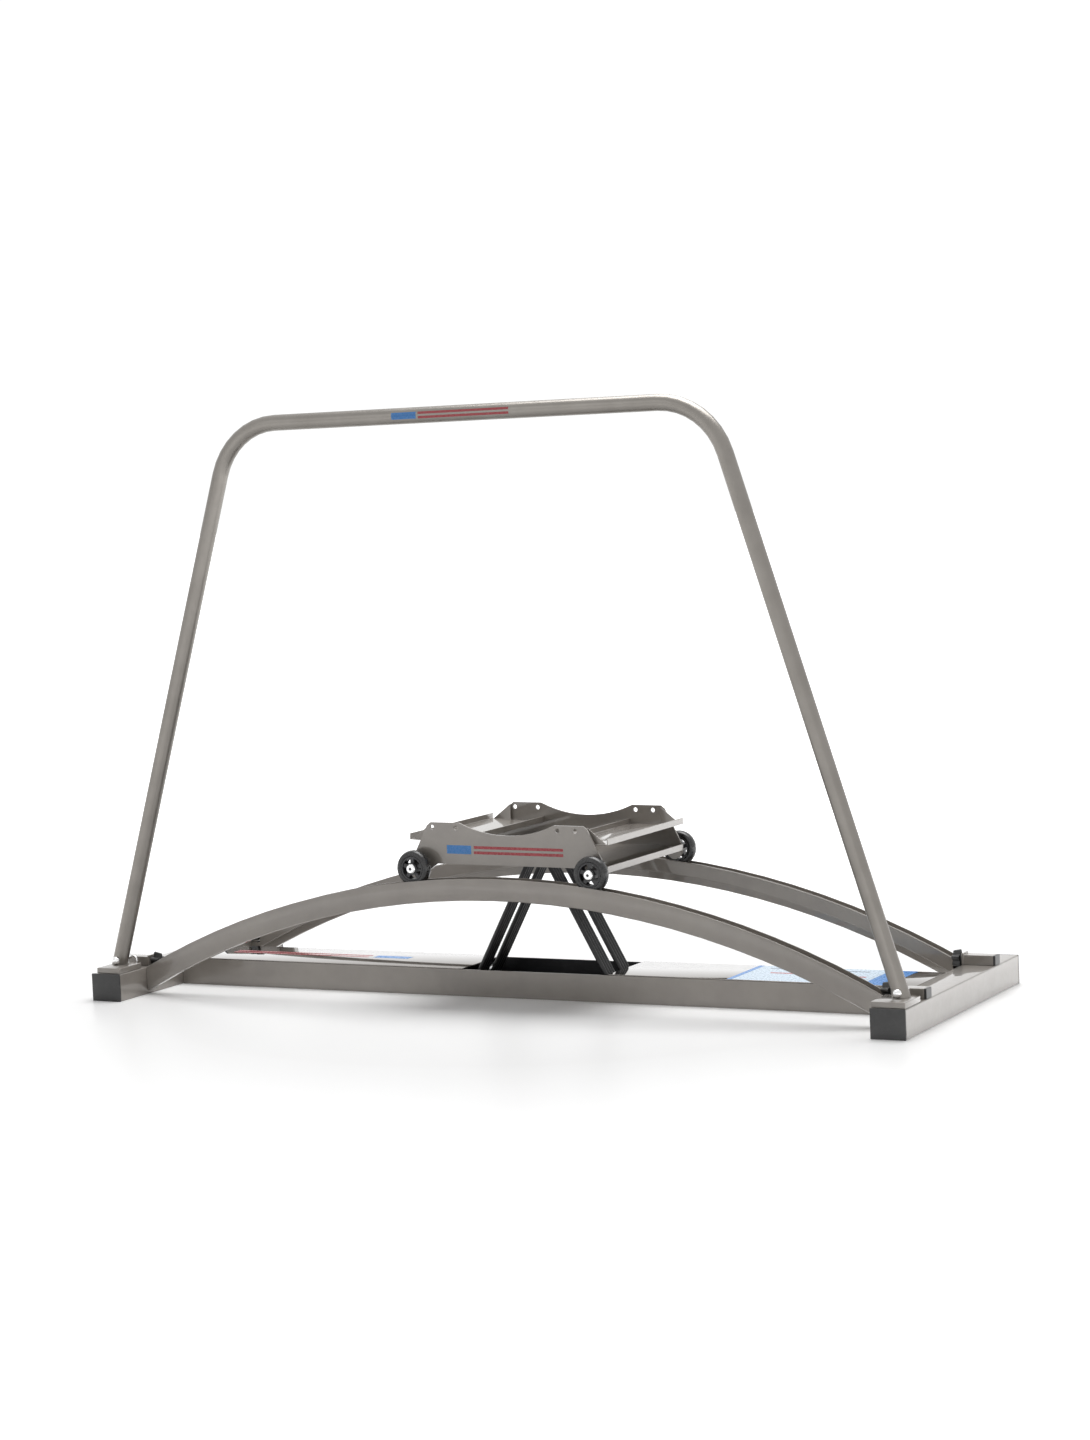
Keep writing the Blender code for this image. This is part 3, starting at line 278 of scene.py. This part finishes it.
PAINT = powder_coat("lacquered_powder_coat", "#8F8982", "#88827C", 0.34, 1.0, 0.25)
COVER = powder_coat("polished_cover_coat", "#8D8882", "#86817C", 0.05, 1.0, 0.9)
HOOP = powder_coat("satin_hoop_coat", "#88847F", "#827E79", 0.30, 0.0, 0.9)
CAP = moulded_plastic("moulded_polypropylene", "#484848", "#3A3A3A", 0.34)
LINER = moulded_plastic("black_abs_sheet", "#38383B", "#28282B", 0.40, 1.4)
KNOB = moulded_plastic("glass_filled_nylon", "#323232", "#222222", 0.34, 0.7)
TYRE = cast_urethane()
HUB = moulded_plastic("moulded_nylon_core", "#55555A", "#333335", 0.28, 0.6, 0.015)
RUBBER = latex_cord()
CHROME = plated_steel("chromed_steel", "#DADADC", 0.08)
ZINC = plated_steel("zinc_plated_steel", "#B9BCC0", 0.24)
BLUE = printed_vinyl("blue_vinyl", "#4A8FD6", "#3F83CB")
RED = printed_vinyl("red_vinyl", "#B8484E", "#A83C44")
PALE = printed_vinyl("pale_blue_vinyl", "#CFE0EE", "#C0D5E8")
SLATE = printed_vinyl("slate_vinyl", "#7E8FA3", "#6F8197")

SLOT_MATERIAL = {
    "frame_paint": PAINT, "cover_paint": COVER, "cap_plastic": CAP, "liner_plastic": LINER,
    "knob_plastic": KNOB, "tyre_urethane": TYRE, "hub_nylon": HUB, "band_rubber": RUBBER,
    "bright_steel": CHROME,
}
NODE_SLOT = {entry["node"]: entry["material_slot"] for entry in frame["record"]["subparts"]}


# Making pieces
def piece(name, bm, material, body, angle=35):
    """A smooth-shaded piece of a shape, on a body unless it is to be blended between two. Its
    edges stay sharp from angle degrees up."""
    mesh = bpy.data.meshes.new(name)
    bm.to_mesh(mesh)
    bm.free()
    obj = bpy.data.objects.new(name, mesh)
    bpy.context.scene.collection.objects.link(obj)
    mesh.materials.append(material)
    mesh.shade_smooth()
    mesh.set_sharp_from_angle(angle=math.radians(angle))
    if body:
        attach(obj, body)
    return obj


def soften(obj, width):
    """Rounds a piece's edges, as a break, a fold or a mould does."""
    rounding = obj.modifiers.new("edges", "BEVEL")
    rounding.width = width
    rounding.segments = 2
    rounding.limit_method = "ANGLE"
    rounding.angle_limit = EDGE_LIMIT
    rounding.harden_normals = True
    rounding.use_clamp_overlap = True


def finished(node, name, material=None, round_mm=0.0, angle=35, shape=None):
    """A piece with a CAD node's own shape, its loose triangles merged and its edges rounded."""
    source = frame["nodes"][node]
    bm = bmesh.new()
    bm.from_mesh(source.data)
    bmesh.ops.remove_doubles(bm, verts=bm.verts, dist=SAME_POINT)
    bmesh.ops.dissolve_limit(bm, angle_limit=FLAT_LIMIT, verts=bm.verts, edges=bm.edges)
    if shape:
        shape(bm)
    slot = NODE_SLOT[node]
    obj = piece(name, bm, material or SLOT_MATERIAL[slot], source["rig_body"], angle)
    if round_mm:
        soften(obj, round_mm / MM_PER_M)
    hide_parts(node)


def grown_verts(grown):
    return [item for item in grown["geom"] if isinstance(item, bmesh.types.BMVert)]


def cord(points):
    """A round cord through points in the XZ plane, its rings turned half way at each bend."""
    bm = bmesh.new()
    points = [Vector(point) for point in points]
    ring = bmesh.ops.create_circle(bm, cap_ends=True, radius=CORD_R, segments=CORD_SIDES)["verts"]
    headings = [(there - here).normalized() for here, there in zip(points, points[1:])]
    bends = [(was + now).normalized() for was, now in zip(headings, headings[1:])]
    lean = [headings[0]] + bends + [headings[-1]]
    turn = Vector((0, 0, 1)).rotation_difference(lean[0]).to_matrix().to_4x4()
    bmesh.ops.transform(bm, matrix=Matrix.Translation(points[0]) @ turn, verts=ring)
    edges = bm.edges[:]
    for here, there, was, now in zip(points, points[1:], lean, lean[1:]):
        grown = bmesh.ops.extrude_edge_only(bm, edges=edges)
        ring = grown_verts(grown)
        fresh = set(ring)
        edges = [item for item in grown["geom"] if isinstance(item, bmesh.types.BMEdge)
                 and item.verts[0] in fresh and item.verts[1] in fresh]
        swing = was.rotation_difference(now).to_matrix().to_4x4()
        stride = Matrix.Translation(there) @ swing @ Matrix.Translation(-here)
        bmesh.ops.transform(bm, matrix=stride, verts=ring)
    bmesh.ops.contextual_create(bm, geom=edges)
    bmesh.ops.recalc_face_normals(bm, faces=bm.faces)
    return bm


def joined(parts):
    """Several shapes as one mesh."""
    whole = bmesh.new()
    scratch = bpy.data.meshes.new("scratch")
    for part in parts:
        part.to_mesh(scratch)
        part.free()
        whole.from_mesh(scratch)
    bpy.data.meshes.remove(scratch)
    return whole


def sit_on_carriage(bm):
    """Turns a shape drawn upright about the arc's centre to where the carriage rests."""
    turn = Matrix.Translation((0, 0, ARC_Z)) @ Matrix.Rotation(REST_TURN, 4, "Y")
    bmesh.ops.transform(bm, matrix=turn, verts=bm.verts)
    return bm


# Frame and carriage
def narrow_knob(bm):
    """Draws a star knob's free face in, since the moulding's sides slope to it."""
    level = max(vert.co.z for vert in bm.verts) - KNOB_R
    across = [vert.co.y for vert in bm.verts]
    middle = (max(across) + min(across)) / 2
    free = min(abs(vert.co.x) for vert in bm.verts)
    face = [vert for vert in bm.verts if abs(vert.co.x) < free + KNOB_FACE_DEPTH]
    bmesh.ops.scale(bm, vec=(1, KNOB_FACE_SHARE, KNOB_FACE_SHARE),
                    space=Matrix.Translation((0, -middle, -level)), verts=face)


def make_frame():
    for side, _ in SIDES:
        finished("crossbar_" + side, "crossbar_tube_" + side, round_mm=0.4)
        finished("beam_cover_" + side, "cover_plate_" + side, round_mm=0.3)
        finished("hoop_bracket_" + side, "hoop_foot_" + side, round_mm=0.6)
        finished("band_anchor_" + side, "anchor_plate_" + side, ZINC)
        finished("roller_axle_" + side, "roller_spindle_" + side, ZINC)
        finished("band_roller_" + side, "roller_sleeve_" + side, ZINC, round_mm=0.4)
        finished("hoop_screw_" + side, "leg_screw_" + side, CHROME, round_mm=0.3, angle=50)
        finished("hoop_pin_" + side, "leg_pin_" + side, CHROME, round_mm=0.3, angle=50)
        for row, _ in ROWS:
            name = row + "_" + side
            finished("crossbar_cap_" + name, "tube_cap_" + name, round_mm=0.8)
            finished("clamp_stub_" + name, "rail_clamp_" + name, round_mm=0.6)
            finished("stub_cap_" + name, "clamp_cap_" + name, round_mm=0.6)
            finished("knob_" + name, "star_knob_" + name, round_mm=1.0, angle=40,
                     shape=narrow_knob)
    finished("base_beam", "beam_channel", round_mm=0.5)
    finished("band_well_liner", "well_lining", round_mm=0.4)
    for row, _ in ROWS:
        finished("rail_" + row, "arched_rail_" + row, round_mm=0.3, angle=28)
    finished("hoop_bar", "hand_hoop", HOOP, round_mm=0.3)


def make_carriage():
    for row, _ in ROWS:
        finished("side_plate_" + row, "carriage_plate_" + row, round_mm=0.7, angle=25)
        for side, _ in SIDES:
            name = row + "_" + side
            finished("axle_bolt_" + name, "wheel_bolt_" + name, CHROME, round_mm=0.4)
            finished("wheel_tyre_" + name, "skate_tyre_" + name, angle=60)
            finished("wheel_hub_" + name, "skate_core_" + name, round_mm=0.5)
    for side, _ in SIDES:
        finished("foot_tray_" + side, "tread_" + side, round_mm=0.8)
    finished("lower_pan", "carriage_pan", round_mm=0.8)
    finished("band_pull_bar", "pull_bar", round_mm=0.6)


# Bands: four cords a bundle, in parts that meet at given shares of its height
def band_x(level):
    return BAND_AT_BEAM - BAND_SLOPE * (level - BEAM_TOP)


def hidden_route():
    """(x, z) points of a bundle's run under its cover and round its roller to the beam's top."""
    lean = math.atan(BAND_SLOPE)
    roller_x = band_x(ROLLER_Z) + BAND_ORBIT / math.cos(lean)
    steps = 12
    route = [(RUN_END, RUN_Z), (roller_x, RUN_Z)]
    for i in range(1, steps + 1):
        turn = (math.pi / 2 - lean) * i / steps
        x, z = roller_x - BAND_ORBIT * math.sin(turn), ROLLER_Z - BAND_ORBIT * math.cos(turn)
        route.append((x, z))
    return route + [(band_x(BEAM_TOP), BEAM_TOP)]


def bundle(route, row_sign, sign):
    """Four cords side by side along (x, z) points of a right-hand band, mirrored for the left."""
    spots = [row_sign * BAND_Y + CORD_PITCH * k for k in (-1.5, -0.5, 0.5, 1.5)]
    return joined([cord([(CENTRE_X + sign * x, y, z) for x, z in route]) for y in spots])


def make_bands():
    steps = 6
    for row, row_sign in ROWS:
        for side, sign in SIDES:
            name = row + "_" + side
            shape = bundle(hidden_route(), row_sign, sign)
            piece("band_run_" + name, shape, RUBBER, "base", angle=60)
            previous = BEAM_TOP
            for k, (low, high) in enumerate(zip(BAND_SHARES, BAND_SHARES[1:]), 1):
                top = BEAM_TOP + (BAND_TOP - BEAM_TOP) * high
                levels = [previous + (top - previous) * i / steps for i in range(steps + 1)]
                shape = bundle([(band_x(level), level) for level in levels], row_sign, sign)
                part = piece("band_part_" + name + "_" + str(k), shape, RUBBER, None,
                             angle=60)
                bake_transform(part)
                if k == 1:
                    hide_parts("elastic_band_" + name)
                previous = top


# Printed films, drawn as plain blocks and stripes
def slab(low, high):
    bm = bmesh.new()
    bmesh.ops.create_cube(bm, size=1.0)
    bmesh.ops.scale(bm, vec=Vector(high) - Vector(low), verts=bm.verts)
    bmesh.ops.translate(bm, vec=(Vector(high) + Vector(low)) / 2, verts=bm.verts)
    return bm


def hoop_film(name, near, far, low_turn, high_turn, material):
    """A film bent round the front of the hoop's bar. Turns are degrees up from straight ahead."""
    bm = bmesh.new()
    radius = HOOP_R + FILM
    level = HOOP_TOP - HOOP_R
    steps = 12
    arc = []
    for i in range(steps + 1):
        turn = math.radians(low_turn + (high_turn - low_turn) * i / steps)
        y, z = HOOP_Y - radius * math.cos(turn), level + radius * math.sin(turn)
        arc.append(bm.verts.new((near, y, z)))
    for pair in zip(arc, arc[1:]):
        bm.edges.new(pair)
    grown = bmesh.ops.extrude_edge_only(bm, edges=bm.edges[:])
    bmesh.ops.translate(bm, vec=(far - near, 0, 0), verts=grown_verts(grown))
    bmesh.ops.recalc_face_normals(bm, faces=bm.faces)
    bmesh.ops.solidify(bm, geom=bm.faces[:], thickness=FILM)
    piece(name, bm, material, "base")


def plate_film(name, near, far, low, high, material):
    """A film on the front plate. Its low and high edges count from the films' middle."""
    low_corner = (near, PLATE_FACE_Y - FILM, PLATE_MIDDLE + low)
    bm = slab(low_corner, (far, PLATE_FACE_Y, PLATE_MIDDLE + high))
    piece(name, sit_on_carriage(bm), material, "carriage")


def cover_film(name, near, far, front, rear, material, layer=0):
    """A film on a beam cover, or on the film that lies there already where its layer is 1."""
    low = BEAM_TOP + FILM * layer
    bm = slab((near, front, low), (far, rear, low + FILM))
    piece(name, bm, material, "base")


def make_films():
    hoop_film("hoop_film_blue", -0.1512, -0.0935, -24, 24, BLUE)
    hoop_film("hoop_film_red_high", -0.0890, 0.1204, 7, 24, RED)
    hoop_film("hoop_film_red_low", -0.0890, 0.1204, -24, -7, RED)
    plate_film("plate_film_blue", -0.1413, -0.0835, -0.0090, 0.0090, BLUE)
    plate_film("plate_film_red_high", -0.0775, 0.1318, 0.0025, 0.0085, RED)
    plate_film("plate_film_red_low", -0.0775, 0.1318, -0.0085, -0.0025, RED)
    cover_film("cover_film_pale", 0.4735, 0.7550, -0.0855, 0.0855, PALE)
    cover_film("cover_film_blue_edge", 0.4615, 0.4730, -0.0862, 0.0862, BLUE)
    cover_film("cover_film_blue_band", 0.7555, 0.8122, -0.0862, 0.0862, BLUE)
    for k, (near, far, y) in enumerate(((0.520, 0.575, 0.006), (0.695, 0.735, -0.004))):
        name = "cover_film_red_" + str(k)
        cover_film(name, near, far, y - RED_BAR_HALF, y + RED_BAR_HALF, RED, layer=1)
    cover_film("cover_film_slate", 0.500, 0.720, 0.052, 0.060, SLATE, layer=1)
    for k, y in enumerate((0.004, 0.022)):
        name = "cover_film_left_red_" + str(k)
        cover_film(name, -0.790, -0.440, y - RED_LINE_HALF, y + RED_LINE_HALF, RED)
    cover_film("cover_film_left_blue", -0.426, -0.338, 0.000, 0.026, BLUE)


# Hexagon drives in the wheel bolts' heads, over the solids' round recesses
def hexagon_ring():
    """A ring as wide as the recess, with a hexagon's opening."""
    bm = bmesh.new()
    rims = []
    for is_hexagon in (False, True):
        ring = bmesh.ops.create_circle(bm, radius=RECESS_R, segments=36)["verts"]
        if is_hexagon:
            for vert in ring:
                angle = math.atan2(vert.co.y, vert.co.x) % (math.pi / 3) - math.pi / 6
                vert.co *= HEXAGON_HALF / (RECESS_R * math.cos(angle))
        rims += [edge for edge in bm.edges if edge.verts[0] in ring and edge.verts[1] in ring]
    bmesh.ops.bridge_loops(bm, edges=rims)
    grown = bmesh.ops.extrude_face_region(bm, geom=bm.faces[:])
    bmesh.ops.translate(bm, vec=(0, 0, DRIVE_TALL), verts=grown_verts(grown))
    bmesh.ops.recalc_face_normals(bm, faces=bm.faces)
    return bm


def socket_shade_disc():
    """A thin dark disc at the foot of the drive: painted shade, for the shadow in the deep socket.
    """
    bm = bmesh.new()
    bmesh.ops.create_cone(bm, cap_ends=True, segments=24, radius1=BOTTOM_R, radius2=BOTTOM_R,
                          depth=BOTTOM_THICK)
    return bm


def in_bolt_head(bm, row_sign, sign, below):
    """Turns a shape to a bolt's axis and sinks it below the head's face."""
    turn = Matrix.Rotation(row_sign * -math.pi / 2, 4, "X")
    spot = Vector((sign * WHEEL_X, row_sign * (RAIL_Y + BOLT_REACH - below), AXLE_ORBIT))
    bmesh.ops.transform(bm, matrix=Matrix.Translation(spot) @ turn, verts=bm.verts)
    return sit_on_carriage(bm)


def make_drives():
    for row, row_sign in ROWS:
        for side, sign in SIDES:
            name = row + "_" + side
            ring = in_bolt_head(hexagon_ring(), row_sign, sign, DRIVE_BELOW_HEAD)
            piece("bolt_drive_" + name, ring, CHROME, "carriage", angle=30)
            # a dark disc of painted shade, as dark as the shadow in a deep socket
            bottom = in_bolt_head(socket_shade_disc(), row_sign, sign, BOTTOM_BELOW_HEAD)
            piece("bolt_socket_shade_" + name, bottom, HUB, "carriage", angle=30)


make_frame()
make_carriage()
make_bands()
make_films()
make_drives()


# Camera: solved from the base's edges. Angles in radians, focal length in pixels of the frame
CAMERA_SPOT = (3.0715, -5.8183, 1.1165)
CAMERA_YAW = 0.4823
CAMERA_PITCH = 0.0810
CAMERA_ROLL = -0.0435
FOCAL_PIXELS = 3113.6
FRAME_PIXELS = 1440
SENSOR_MM = 36


def aim_camera():
    yaw, pitch, roll = CAMERA_YAW, CAMERA_PITCH, CAMERA_ROLL
    right = Vector((math.cos(yaw), math.sin(yaw), 0))
    ahead = Vector((-math.sin(yaw) * math.cos(pitch), math.cos(yaw) * math.cos(pitch),
                    -math.sin(pitch)))
    up = right.cross(ahead)
    across = right * math.cos(roll) + up * math.sin(roll)
    upward = up * math.cos(roll) - right * math.sin(roll)
    lens = bpy.data.cameras.new("view")
    lens.sensor_width = SENSOR_MM
    lens.lens = FOCAL_PIXELS * SENSOR_MM / FRAME_PIXELS
    camera = bpy.data.objects.new("view", lens)
    bpy.context.scene.collection.objects.link(camera)
    pose = Matrix((across, upward, -ahead)).transposed().to_4x4()
    camera.matrix_world = Matrix.Translation(CAMERA_SPOT) @ pose
    bpy.context.scene.camera = camera


# White studio. Its surroundings are white to the eye and in reflections, and dim as a light
WHITE = (1, 1, 1, 1)
WORLD_LIGHT = 0.24
WORLD_SEEN = 1.06
FLOOR_WHITE = (0.92, 0.92, 0.92, 1)
FLOOR_R = 60
# The floor's glow rises with the distance from the machine, in metres
GLOW_FROM, GLOW_TO = 0.8, 3.5
GLOW_NEAR, GLOW_FAR = 0.05, 0.95
# A strip of the floor to the machine's right, from x in metres, glows in reflections only: a
# painted reflection that brightens the machine's faces turned to the right
PAINTED_REFLECTION_FROM, PAINTED_REFLECTION_TO = 0.7, 1.3
PAINTED_REFLECTION_GLOW = 0.9


def seen_white(tree):
    """1 where the camera, a reflection or clear material looks straight at the surroundings."""
    path = add(tree, "ShaderNodeLightPath").outputs
    either = add(tree, "ShaderNodeMath", 0, {"operation": "MAXIMUM"}, _0=path["Is Camera Ray"],
                 _1=path["Is Glossy Ray"])
    return add(tree, "ShaderNodeMath", 0, {"operation": "MAXIMUM"}, _0=either,
               _1=path["Is Transmission Ray"])


def lay_floor():
    """Painted studio floor: keeps the shadows, and glows far off, where the lamp falls short."""
    bm = bmesh.new()
    bmesh.ops.create_circle(bm, cap_ends=True, radius=FLOOR_R, segments=96)
    mesh = bpy.data.meshes.new("floor")
    bm.to_mesh(mesh)
    bm.free()
    floor = bpy.data.objects.new("floor", mesh)
    bpy.context.scene.collection.objects.link(floor)
    material, tree, shader, place = start("white_floor")
    away = add(tree, "ShaderNodeVectorMath", "Value", {"operation": "LENGTH"}, _0=place)
    far_glow = add(tree, "ShaderNodeMapRange", "Result", Value=away, From_Min=GLOW_FROM,
                   From_Max=GLOW_TO, To_Min=GLOW_NEAR, To_Max=GLOW_FAR)
    across = add(tree, "ShaderNodeSeparateXYZ", "X", Vector=place)
    # painted reflection: a strip of floor that glows for reflected rays only
    painted_reflection = add(tree, "ShaderNodeMapRange", "Result", Value=across, From_Min=PAINTED_REFLECTION_FROM,
               From_Max=PAINTED_REFLECTION_TO, To_Max=PAINTED_REFLECTION_GLOW)
    path = add(tree, "ShaderNodeLightPath").outputs
    mirrored = add(tree, "ShaderNodeMath", 0, {"operation": "MULTIPLY"}, _0=path["Is Glossy Ray"],
                   _1=painted_reflection)
    glow = add(tree, "ShaderNodeMath", 0, {"operation": "MULTIPLY_ADD"}, _0=seen_white(tree),
               _1=far_glow, _2=mirrored)
    fill(shader, Base_Color=FLOOR_WHITE, Roughness=0.35, Specular_IOR_Level=0.2,
         Emission_Color=WHITE, Emission_Strength=glow)
    mesh.materials.append(material)


def make_surroundings():
    world = bpy.data.worlds.new("studio")
    bpy.context.scene.world = world
    world.use_nodes = True
    tree = world.node_tree
    strength = add(tree, "ShaderNodeMapRange", "Result", Value=seen_white(tree),
                   To_Min=WORLD_LIGHT, To_Max=WORLD_SEEN)
    fill(tree.nodes["Background"], Color=WHITE, Strength=strength)


def hang_lamps():
    # name, place, target, side of the square, power in watts
    lamps = (("top_softbox", (0.3, 0.9, 4.2), (0, 0, 0), 3.2, 185),
             ("front_fill", (-2.5, -5.0, 3.0), (0, 0, 0.3), 2.5, 12))
    for name, spot, target, size, power in lamps:
        light = bpy.data.lights.new(name, "AREA")
        light.size = size
        light.energy = power
        lamp = bpy.data.objects.new(name, light)
        lamp.location = spot
        lamp.rotation_euler = (Vector(target) - Vector(spot)).to_track_quat("-Z", "Y").to_euler()
        lamp.visible_camera = False
        bpy.context.scene.collection.objects.link(lamp)


aim_camera()
lay_floor()
make_surroundings()
hang_lamps()
bpy.context.scene.view_settings.view_transform = "Standard"
